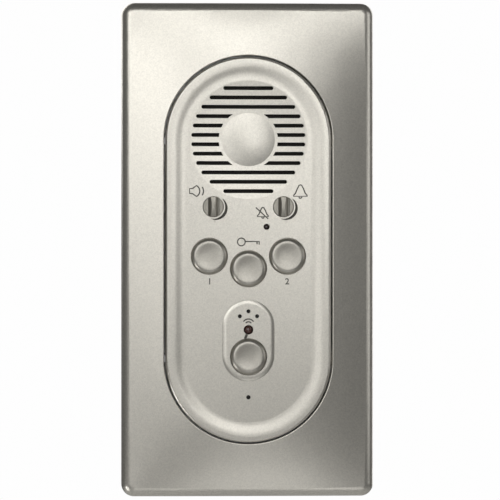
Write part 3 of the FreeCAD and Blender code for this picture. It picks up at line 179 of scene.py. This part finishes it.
class Surface:
    """One procedural material, built up from nodes that read places on the object in metres."""

    def __init__(
        self, name, roughness=0.5, metallic=0.0, specular=0.5, coat=0.0, coat_roughness=0.1
    ):
        self.made = bpy.data.materials.new(name)
        self.made.use_nodes = True
        self.tree = self.made.node_tree
        self.shader = self.tree.nodes["Principled BSDF"]
        self.shader.inputs["Roughness"].default_value = roughness
        self.shader.inputs["Metallic"].default_value = metallic
        self.shader.inputs["Specular IOR Level"].default_value = specular
        self.shader.inputs["Coat Weight"].default_value = coat
        self.shader.inputs["Coat Roughness"].default_value = coat_roughness
        self.places = self.tree.nodes.new("ShaderNodeTexCoord").outputs["Object"]
        self.height = None

    def join(self, start, end):
        self.tree.links.new(start, end)

    def noise(self, size, detail=2.0, stretch=(1, 1, 1)):
        """Noise whose features are about size millimetres across, stretched along each axis."""
        mapping = self.tree.nodes.new("ShaderNodeMapping")
        mapping.inputs["Scale"].default_value = [1 / (size * MM * part) for part in stretch]
        self.join(self.places, mapping.inputs["Vector"])
        noise = self.tree.nodes.new("ShaderNodeTexNoise")
        noise.inputs["Scale"].default_value = 1.0
        noise.inputs["Detail"].default_value = detail
        self.join(mapping.outputs["Vector"], noise.inputs["Vector"])
        return noise.outputs["Fac"]

    def cells(self, size, output="Color"):
        """Voronoi cells about size millimetres across."""
        cells = self.tree.nodes.new("ShaderNodeTexVoronoi")
        cells.inputs["Scale"].default_value = 1 / (size * MM)
        self.join(self.places, cells.inputs["Vector"])
        return cells.outputs[output]

    def weave(self, pitch, direction):
        """Threads along one direction, pitch millimetres apart."""
        bands = self.tree.nodes.new("ShaderNodeTexWave")
        bands.bands_direction = direction
        bands.inputs["Scale"].default_value = math.tau / (20 * pitch * MM)
        self.join(self.places, bands.inputs["Vector"])
        return bands.outputs["Fac"]

    def spread(self, fac, low, high, start=0.3, stop=0.7):
        """A value from low to high as fac goes from start to stop."""
        ranged = self.tree.nodes.new("ShaderNodeMapRange")
        ranged.inputs["From Min"].default_value = start
        ranged.inputs["From Max"].default_value = stop
        ranged.inputs["To Min"].default_value = low
        ranged.inputs["To Max"].default_value = high
        self.join(fac, ranged.inputs["Value"])
        return ranged.outputs["Result"]

    def between(self, fac, one, other):
        """A colour between two, which are colours or outputs."""
        mix = self.tree.nodes.new("ShaderNodeMix")
        mix.data_type = "RGBA"
        self.join(fac, mix.inputs["Factor"])
        for name, value in (("A", one), ("B", other)):
            socket = next(s for s in mix.inputs if s.name == name and s.type == "RGBA")
            if isinstance(value, tuple):
                socket.default_value = value
            else:
                self.join(value, socket)
        return next(s for s in mix.outputs if s.type == "RGBA")

    def paint(self, colour):
        self.join(colour, self.shader.inputs["Base Color"])

    def roughen(self, fac, low, high):
        self.join(self.spread(fac, low, high), self.shader.inputs["Roughness"])

    def raise_by(self, height, depth):
        """Adds relief of depth millimetres on top of what is there."""
        bump = self.tree.nodes.new("ShaderNodeBump")
        bump.inputs["Distance"].default_value = depth * MM
        bump.inputs["Strength"].default_value = 1.0
        self.join(height, bump.inputs["Height"])
        if self.height:
            self.join(self.height, bump.inputs["Normal"])
        self.height = bump.outputs["Normal"]
        self.join(self.height, self.shader.inputs["Normal"])


def lacquer(name, colour):
    """Metallic paint: fine flakes that differ in brightness, on a softly uneven ground."""
    roughness = LACQUER_ROUGHNESS
    paint = Surface(name, roughness=roughness, metallic=LACQUER_METALLIC)
    flakes = paint.spread(paint.cells(0.4), 0.0, 1.0, 0.1, 0.9)
    cloud = paint.noise(1.3, detail=3.0)
    ground = paint.between(cloud, shade(colour, 0.95), shade(colour, 1.02))
    bright = paint.between(cloud, shade(colour, 1.09), shade(colour, 1.16))
    paint.paint(paint.between(flakes, ground, bright))
    paint.roughen(paint.noise(0.5), roughness - 0.03, roughness + 0.03)
    paint.raise_by(paint.noise(0.35, detail=3.0), 0.006)
    paint.raise_by(paint.noise(2.4), 0.012)
    return paint.made


def moulded(name, colour, roughness=0.5, grain=0.45, depth=0.02, coat=0.0):
    """Moulded plastic with a fine eroded texture, slightly uneven in colour and gloss."""
    plastic = Surface(name, roughness=roughness, coat=coat)
    cloud = plastic.noise(6, detail=4.0)
    plastic.paint(plastic.between(cloud, shade(colour, 0.9), shade(colour, 1.12)))
    plastic.roughen(plastic.noise(1.5), roughness - 0.07, roughness + 0.07)
    plastic.raise_by(plastic.noise(grain, detail=4.0), depth)
    return plastic.made


def metal(name, colour, roughness=0.35, stretch=(1, 1, 1), size=0.4, depth=0.008):
    """Bare or plated metal: fine rolling or turning marks, with soft cloudy patches."""
    sheet = Surface(name, roughness=roughness, metallic=1.0)
    cloud = sheet.noise(7, detail=4.0)
    sheet.paint(sheet.between(cloud, shade(colour, 0.88), shade(colour, 1.1)))
    sheet.roughen(sheet.noise(size * 2, stretch=stretch), roughness - 0.08, roughness + 0.1)
    sheet.raise_by(sheet.noise(size, detail=3.0, stretch=stretch), depth)
    return sheet.made


def lens(name, colour, core):
    """A tinted lens: a dark glossy body, paler in soft uneven patches."""
    glass = Surface(name, roughness=0.12, specular=0.6, coat=0.6, coat_roughness=0.05)
    glass.paint(glass.between(glass.noise(0.8, detail=3.0), colour, core))
    glass.raise_by(glass.noise(1.2), 0.004)
    return glass.made


def woven(name, colour):
    """Open black cloth: threads both ways, with dark holes between them."""
    cloth = Surface(name, roughness=0.95, specular=0.15)
    cloth.shader.inputs["Sheen Weight"].default_value = 0.25
    cloth.shader.inputs["Sheen Roughness"].default_value = 0.5
    across = cloth.weave(THREAD_PITCH, "X")
    up = cloth.weave(THREAD_PITCH, "Z")
    both = cloth.tree.nodes.new("ShaderNodeMath")
    both.operation = "MAXIMUM"
    cloth.join(across, both.inputs[0])
    cloth.join(up, both.inputs[1])
    thread = cloth.spread(both.outputs["Value"], 0.0, 1.0, 0.35, 0.95)
    fuzz = cloth.between(cloth.noise(0.3, detail=5.0), shade(colour, 0.8), shade(colour, 1.5))
    cloth.paint(cloth.between(thread, shade(colour, 0.15), fuzz))
    cloth.raise_by(thread, 0.12)
    return cloth.made


def laminate(name, colour):
    """Green solder mask over copper tracks, which show as slightly paler raised bands."""
    board = Surface(name, roughness=0.28, specular=0.5, coat=0.3, coat_roughness=0.12)
    tracks = board.spread(board.cells(2.2, "Distance"), 0.0, 1.0, 0.28, 0.34)
    fibre = board.between(board.noise(0.6, detail=4.0), shade(colour, 0.85), shade(colour, 1.1))
    board.paint(board.between(tracks, shade(colour, 1.5), fibre))
    board.raise_by(tracks, 0.03)
    return board.made


def pulp(name, colour):
    """Pressed paper with short fibres."""
    paper = Surface(name, roughness=0.9, specular=0.2)
    fibre = paper.noise(0.5, detail=6.0, stretch=(3, 1, 1))
    paper.paint(paper.between(fibre, shade(colour, 0.7), shade(colour, 1.5)))
    paper.raise_by(fibre, 0.05)
    return paper.made


def ink(name, colour):
    """Screen-printed ink, slightly uneven, which also serves as painted shade in the grooves."""
    film = Surface(name, roughness=0.6, specular=0.3)
    cloud = film.noise(0.4, detail=3.0)
    film.paint(film.between(cloud, shade(colour, 0.85), shade(colour, 1.2)))
    film.raise_by(film.noise(0.2), 0.003)
    return film.made


PLATE_COLOUR = (0.67, 0.645, 0.58, 1.0)
FACE_COLOUR = (0.665, 0.64, 0.575, 1.0)
BUTTON_COLOUR = (0.47, 0.45, 0.4, 1.0)
KNOB_COLOUR = (0.33, 0.315, 0.275, 1.0)
LACQUER_ROUGHNESS = 0.32
LACQUER_METALLIC = 0.85

MATERIALS = {
    "plate_lacquer": lacquer("plate_lacquer", PLATE_COLOUR),
    "fascia_lacquer": lacquer("fascia_lacquer", FACE_COLOUR),
    "button_lacquer": lacquer("button_lacquer", BUTTON_COLOUR),
    "knob_lacquer": lacquer("knob_lacquer", KNOB_COLOUR),
    "grille_cloth": woven("grille_cloth", (0.03, 0.028, 0.025, 1.0)),
    "dark_lens": lens("dark_lens", (0.012, 0.006, 0.005, 1.0), (0.03, 0.014, 0.012, 1.0)),
    "red_lens": lens("red_lens", (0.06, 0.022, 0.018, 1.0), (0.1, 0.042, 0.034, 1.0)),
    "zinc_steel": metal("zinc_steel", (0.56, 0.57, 0.58, 1.0), 0.4, stretch=(1, 1, 8)),
    "spring_steel": metal("spring_steel", (0.5, 0.5, 0.51, 1.0), 0.28, stretch=(6, 1, 1)),
    "liner_plastic": moulded("liner_plastic", (0.27, 0.28, 0.29, 1.0), 0.55),
    "housing_plastic": moulded(
        "housing_plastic", (0.035, 0.037, 0.04, 1.0), 0.52, grain=0.6, depth=0.04
    ),
    "board_laminate": laminate("board_laminate", (0.012, 0.11, 0.045, 1.0)),
    "black_plastic": moulded("black_plastic", (0.018, 0.018, 0.018, 1.0), 0.45),
    "white_plastic": moulded("white_plastic", (0.72, 0.7, 0.64, 1.0), 0.42),
    "blue_plastic": moulded("blue_plastic", (0.03, 0.09, 0.28, 1.0), 0.4),
    "terminal_plastic": moulded(
        "terminal_plastic", (0.02, 0.14, 0.06, 1.0), 0.42, grain=0.3, depth=0.012
    ),
    "tinned_metal": metal("tinned_metal", (0.72, 0.72, 0.7, 1.0), 0.3),
    "brass": metal("brass", (0.72, 0.52, 0.22, 1.0), 0.3),
    "rubber": moulded("rubber", (0.02, 0.02, 0.02, 1.0), 0.8, grain=0.25, depth=0.015),
    "capsule_metal": metal("capsule_metal", (0.78, 0.78, 0.77, 1.0), 0.25),
    "cone_paper": pulp("cone_paper", (0.03, 0.026, 0.022, 1.0)),
    "ferrite": moulded("ferrite", (0.035, 0.036, 0.04, 1.0), 0.55, grain=0.3, depth=0.02),
    "coil_copper": metal(
        "coil_copper", (0.62, 0.24, 0.09, 1.0), 0.3, stretch=(20, 0.4, 20), size=0.25
    ),
    "wire_jacket": moulded("wire_jacket", (0.4, 0.02, 0.012, 1.0), 0.42),
    "can_sleeve": moulded("can_sleeve", (0.01, 0.012, 0.03, 1.0), 0.25, coat=0.4),
    "screw_steel": metal("screw_steel", (0.55, 0.55, 0.54, 1.0), 0.3, size=0.2),
}
# One ink for the printed symbols and for the painted shade in the grooves.
PRINT_AND_SHADE_INK = ink("print_and_shade_ink", srgb(96, 94, 88))

for part in frame["record"]["subparts"]:
    node = frame["nodes"][part["node"]]
    node.material_slots[0].material = MATERIALS[part["material_slot"]]


# Printed symbols, and painted shade in the grooves


def finished(name, mesh, material):
    """A piece of that mesh and material, which stays with the fixed body."""
    piece = bpy.data.objects.new(name, mesh)
    bpy.context.scene.collection.objects.link(piece)
    mesh.materials.clear()
    mesh.materials.append(material)
    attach(piece, "root")
    return piece


def middle_of(node):
    """The middle of a node, in millimetres across and up."""
    low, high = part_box(node)
    return ((low.x + high.x) / 2 / MM, (low.z + high.z) / 2 / MM)


def mesh_of(data):
    """The mesh that a curve or text makes."""
    maker = bpy.data.objects.new("maker", data)
    bpy.context.scene.collection.objects.link(maker)
    mesh = bpy.data.meshes.new_from_object(maker)
    bpy.data.objects.remove(maker)
    return mesh


def flattened(curve, level):
    """The curve's own mesh, pressed to the height of a print on that level."""
    mesh = mesh_of(curve)
    lowest = min(v.co.y for v in mesh.vertices)
    highest = max(v.co.y for v in mesh.vertices)
    for vertex in mesh.vertices:
        share = (vertex.co.y - lowest) / (highest - lowest)
        vertex.co.y = level - INK_PROUD * MM + share * (INK_PROUD + INK_SUNK) * MM
    return mesh


def arc(centre, radius, start, stop, steps=16):
    """Points on a round stretch, from one angle to another in degrees."""
    points = []
    for step in range(steps + 1):
        angle = math.radians(start + (stop - start) * step / steps)
        points.append((centre[0] + radius * math.cos(angle), centre[1] + radius * math.sin(angle)))
    return points


def symbol(name, place, strokes, width=LINE_WIDTH, level=FIELD):
    """A line drawing: each stroke is its points in millimetres and whether it closes."""
    curve = bpy.data.curves.new(name, "CURVE")
    curve.dimensions = "3D"
    curve.bevel_depth = width / 2 * MM
    curve.bevel_resolution = 3
    curve.use_fill_caps = True
    for points, closed in strokes:
        line = curve.splines.new("POLY")
        line.points.add(len(points) - 1)
        for spot, (across, up) in zip(line.points, points):
            spot.co = ((place[0] + across) * MM, 0, (place[1] + up) * MM, 1)
        line.use_cyclic_u = closed
    return finished(name, flattened(curve, level), PRINT_AND_SHADE_INK)


def bell(size):
    """A bell's outline, narrow at its crown and wide at its rim, with its clapper."""
    rim = [(-0.48, -0.32), (-0.47, -0.24), (-0.34, -0.1)]
    shoulder = [(-0.27, 0.08), (-0.2, 0.26), (-0.14, 0.34)]
    side = [(across * size, up * size) for across, up in rim + shoulder]
    crown = arc((0, 0.34 * size), 0.14 * size, 150, 30, 8)
    other = [(-across, up) for across, up in reversed(side)]
    clapper = arc((0, -0.36 * size), 0.1 * size, 180, 360, 8)
    return [(side + crown + other, True), (clapper, False)]


def number(name, text, place):
    """A printed number, centred on its place."""
    letters = bpy.data.curves.new(name, "FONT")
    letters.body = text
    letters.size = NUMBER_SIZE * MM
    letters.align_x = "CENTER"
    letters.align_y = "CENTER"
    letters.extrude = INK_SUNK * MM
    letters.offset = NUMBER_BOLDNESS * MM
    mesh = mesh_of(letters)
    for vertex in mesh.vertices:
        across, up, out = vertex.co
        height = FIELD - INK_PROUD * MM if out > 0 else FIELD + INK_SUNK * MM
        vertex.co = (place[0] * MM + across, height, place[1] * MM + up)
    return finished(name, mesh, PRINT_AND_SHADE_INK)


def volume_groove_shade(name, knob):
    """Painted shade on the floor of the crescent groove beside a knob, which widens to the lower
    right.
    """
    centre = Vector(middle_of(knob))
    shift = Vector(VOLUME_SHADE_SHIFT)
    work = bmesh.new()
    floor_level = FIELD + (VOLUME_GROOVE_DEPTH - INK_PROUD) * MM
    edges = []
    for degrees in VOLUME_SHADE_ANGLES:
        angle = math.radians(degrees)
        ray = Vector((math.cos(angle), math.sin(angle)))
        along = shift.dot(ray)
        reach = along + math.sqrt(VOLUME_SHADE_OUTER**2 - shift.length_squared + along**2)
        if reach > VOLUME_SHADE_INNER:
            pair = []
            for radius in (VOLUME_SHADE_INNER, reach):
                spot = (centre + radius * ray) * MM
                pair.append(work.verts.new((spot.x, floor_level, spot.y)))
            edges.append(pair)
    for (inner, outer), (next_inner, next_outer) in zip(edges, edges[1:]):
        work.faces.new((inner, outer, next_outer, next_inner))
    thick = bmesh.ops.extrude_face_region(work, geom=work.faces[:])["geom"]
    for item in thick:
        if isinstance(item, bmesh.types.BMVert):
            item.co.y += (INK_PROUD + INK_SUNK) * MM
    bmesh.ops.recalc_face_normals(work, faces=work.faces)
    mesh = bpy.data.meshes.new(name)
    work.to_mesh(mesh)
    work.free()
    return finished(name, mesh, PRINT_AND_SHADE_INK)


# Each knob's crescent groove gets a patch of painted shade on its floor.
for knob in ("speech_volume_knob", "ring_volume_knob"):
    volume_groove_shade(knob + "_groove_shade", knob)

# The link groove under the talk lamp gets a stroke of painted shade on its floor, not a print.
link = [([LINK_FROM, LINK_TO], False)]
link_floor = PANEL + LINK_DEPTH * MM
symbol("link_groove_shade", middle_of("talk_led"), link, width=LINK_WIDTH, level=link_floor)

mouth = arc((-0.9, 0), 2.0, -62, 62)
loudspeaker = [
    ([(-2.2, 0.75), (-2.2, -0.75), (-1.2, -0.85)] + mouth + [(-1.2, 0.85)], True),
    (arc((0, 0), 2.3, -36, 36), False),
]
symbol("loudspeaker_symbol", LOUDSPEAKER_AT, loudspeaker)
symbol("bell_symbol", BELL_AT, bell(BELL_SIZE))
crossed = bell(CROSSED_BELL_SIZE) + [([(-2.3, 1.8), (1.7, -1.9)], False)]
symbol("crossed_bell_symbol", CROSSED_BELL_AT, crossed)
key = [
    (arc((-2.3, 0), 1.25, 0, 345, 24), True),
    ([(-1.05, 0.15), (3.5, 0.15), (3.5, -0.85)], False),
    ([(2.8, 0.15), (2.8, -0.75)], False),
]
symbol("key_symbol", KEY_AT, key)
waves = [
    (arc((0, -1.4), 2.0, 35, 145), False),
    (arc((0, -1.4), 1.1, 35, 145), False),
]
symbol("wave_symbol", WAVES_AT, waves, level=PANEL)
for number_name, (digit, place) in NUMBERS.items():
    number(number_name, digit, place)


# Fine black mesh in the small holes


def hole_mesh(name, place, radius, level):
    """A thin round piece with a rounded rim, set just inside a hole."""
    mesh = bpy.data.meshes.new(name)
    work = bmesh.new()
    thickness = HOLE_MESH_THICKNESS * MM
    bmesh.ops.create_cone(
        work,
        cap_ends=True,
        segments=32,
        radius1=radius * MM,
        radius2=radius * MM,
        depth=thickness,
    )
    middle = level + HOLE_MESH_SUNK * MM + thickness / 2
    for vertex in work.verts:
        across, up, out = vertex.co
        vertex.co = (place[0] * MM + across, middle + out, place[1] * MM + up)
    rim = []
    for edge in work.edges:
        one, other = edge.verts
        if abs(one.co.y - other.co.y) < thickness / 2:
            rim.append(edge)
    offset = HOLE_MESH_ROUND * MM
    bmesh.ops.bevel(work, geom=rim, offset=offset, segments=3, profile=0.5, affect="EDGES")
    bmesh.ops.recalc_face_normals(work, faces=work.faces)
    work.to_mesh(mesh)
    work.free()
    return finished(name, mesh, MATERIALS["grille_cloth"])


for count, hole in enumerate(SOUND_HOLES, 1):
    hole_mesh(f"sound_hole_mesh_{count}", hole, SOUND_HOLE_RADIUS, PANEL)
microphone_at = middle_of("microphone_capsule")
hole_mesh("microphone_hole_mesh", microphone_at, MICROPHONE_HOLE_RADIUS, FIELD)


# Dark pads over the frame's slots: painted shade in the gap round the fascia, where the slots
# would otherwise show light through


def gap_shade_pad(name, across, up):
    """A dark pad with rounded edges in front of the frame's sheet, standing in for shade in the
    gap.
    """
    mesh = bpy.data.meshes.new(name)
    work = bmesh.new()
    bmesh.ops.create_cube(work, size=1.0)
    middle = Vector((across, FRAME_SHEET_FRONT - PAD_GAP - PAD_SIZE[1] / 2, up))
    for vertex in work.verts:
        offset = Vector([share * length for share, length in zip(vertex.co, PAD_SIZE)])
        vertex.co = (middle + offset) * MM
    offset = PAD_ROUND * MM
    edges = work.edges[:]
    bmesh.ops.bevel(work, geom=edges, offset=offset, segments=4, profile=0.5, affect="EDGES")
    work.to_mesh(mesh)
    work.free()
    return finished(name, mesh, MATERIALS["rubber"])


for side_name, side in (("left", -1), ("right", 1)):
    for end_name, end in (("lower", -1), ("upper", 1)):
        pad_name = f"{side_name}_{end_name}_gap_shade_pad"
        gap_shade_pad(pad_name, side * PAD_MIDDLE_ACROSS, end * PAD_MIDDLE_UP)


# Acoustic cloth


def cloth_disc():
    """The stretched cloth behind the grille, which bows slightly where nothing holds it."""
    low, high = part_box("acoustic_cloth")
    centre = (low + high) / 2
    radius = (high.x - low.x) / 2
    sag = CLOTH_SAG * MM
    mesh = bpy.data.meshes.new("grille_cloth_sheet")
    work = bmesh.new()
    middle = work.verts.new((centre.x, centre.y + sag, centre.z))
    previous = None
    for ring in range(1, CLOTH_RINGS + 1):
        share = ring / CLOTH_RINGS
        loop = []
        for spoke in range(CLOTH_SPOKES):
            angle = math.tau * spoke / CLOTH_SPOKES
            depth = sag * math.cos(share * math.pi / 2)
            ripple = math.sin(CLOTH_RIPPLES * angle) * math.sin(math.pi * share)
            depth += CLOTH_RIPPLE * MM * ripple
            across = radius * share * math.cos(angle)
            up = radius * share * math.sin(angle)
            loop.append(work.verts.new((centre.x + across, centre.y + depth, centre.z + up)))
        for spoke in range(CLOTH_SPOKES):
            after = (spoke + 1) % CLOTH_SPOKES
            if previous is None:
                work.faces.new((middle, loop[after], loop[spoke]))
            else:
                work.faces.new((previous[spoke], previous[after], loop[after], loop[spoke]))
        previous = loop
    bmesh.ops.recalc_face_normals(work, faces=work.faces)
    work.to_mesh(mesh)
    work.free()
    for face in mesh.polygons:
        face.use_smooth = True
    piece = finished("grille_cloth_sheet", mesh, MATERIALS["grille_cloth"])
    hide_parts("acoustic_cloth")


cloth_disc()


# Floor, lights and camera


def floor():
    """A pale round floor, well below the object."""
    mesh = bpy.data.meshes.new("floor")
    work = bmesh.new()
    bmesh.ops.create_circle(work, cap_ends=True, segments=96, radius=FLOOR_RADIUS)
    work.to_mesh(mesh)
    work.free()
    pale = Surface("floor_paper", roughness=0.8, specular=0.2)
    cloud = pale.noise(60, detail=3.0)
    pale.paint(pale.between(cloud, (0.86, 0.86, 0.85, 1.0), (0.9, 0.9, 0.89, 1.0)))
    mesh.materials.append(pale.made)
    piece = bpy.data.objects.new("floor", mesh)
    piece.location = (0, 0, -FLOOR_DROP)
    bpy.context.scene.collection.objects.link(piece)


floor()


def direction(left, up):
    """The way out from the front, turned left and up by so many degrees."""
    left, up = math.radians(left), math.radians(up)
    level = math.cos(up)
    return Vector((-math.sin(left) * level, -math.cos(left) * level, math.sin(up)))


def aimed(name, data, target, way, distance):
    """A lamp or camera at that distance from its target, looking back along the way."""
    holder = bpy.data.objects.new(name, data)
    bpy.context.scene.collection.objects.link(holder)
    holder.location = target + way * distance
    holder.rotation_mode = "QUATERNION"
    holder.rotation_quaternion = way.to_track_quat("Z", "Y")
    return holder


def soft_box(name, left, up, distance, width, height, glow):
    """A rectangular lamp that faces the origin; glow is the brightness of its surface."""
    lamp = bpy.data.lights.new(name, "AREA")
    lamp.shape = "RECTANGLE"
    lamp.size = width
    lamp.size_y = height
    lamp.energy = math.pi * width * height * glow
    holder = aimed(name, lamp, Vector(), direction(left, up), distance)
    holder.visible_camera = False


for box_name, settings in SOFT_BOXES.items():
    soft_box(box_name, *settings)


def sky():
    """Dim grey surroundings, with a white ground for the camera alone."""
    world = bpy.data.worlds.new("studio")
    bpy.context.scene.world = world
    world.use_nodes = True
    tree = world.node_tree
    tree.nodes.clear()
    out = tree.nodes.new("ShaderNodeOutputWorld")
    mix = tree.nodes.new("ShaderNodeMixShader")
    path = tree.nodes.new("ShaderNodeLightPath")
    white = tree.nodes.new("ShaderNodeBackground")
    white.inputs["Color"].default_value = GROUND_WHITE
    grey = tree.nodes.new("ShaderNodeBackground")
    grey.inputs["Color"].default_value = SURROUNDINGS
    tree.links.new(path.outputs["Is Camera Ray"], mix.inputs["Fac"])
    tree.links.new(grey.outputs["Background"], mix.inputs[1])
    tree.links.new(white.outputs["Background"], mix.inputs[2])
    tree.links.new(mix.outputs["Shader"], out.inputs["Surface"])


sky()


def camera():
    """A long lens slightly to the left, which frames the plate as the photograph does."""
    optics = bpy.data.cameras.new("camera")
    optics.sensor_width = SENSOR_WIDTH
    optics.lens = SENSOR_WIDTH * CAMERA_DISTANCE / (PHOTO_WIDTH * PHOTO_SCALE)
    aim_right = (PHOTO_WIDTH / 2 - PLATE_MIDDLE[0]) * PHOTO_SCALE
    aim_up = (PLATE_MIDDLE[1] - PHOTO_WIDTH / 2) * PHOTO_SCALE
    target = Vector((aim_right, 0, aim_up))
    way = direction(CAMERA_LEFT, 0)
    bpy.context.scene.camera = aimed("camera", optics, target, way, CAMERA_DISTANCE)


camera()
bpy.context.scene.view_settings.view_transform = "Standard"
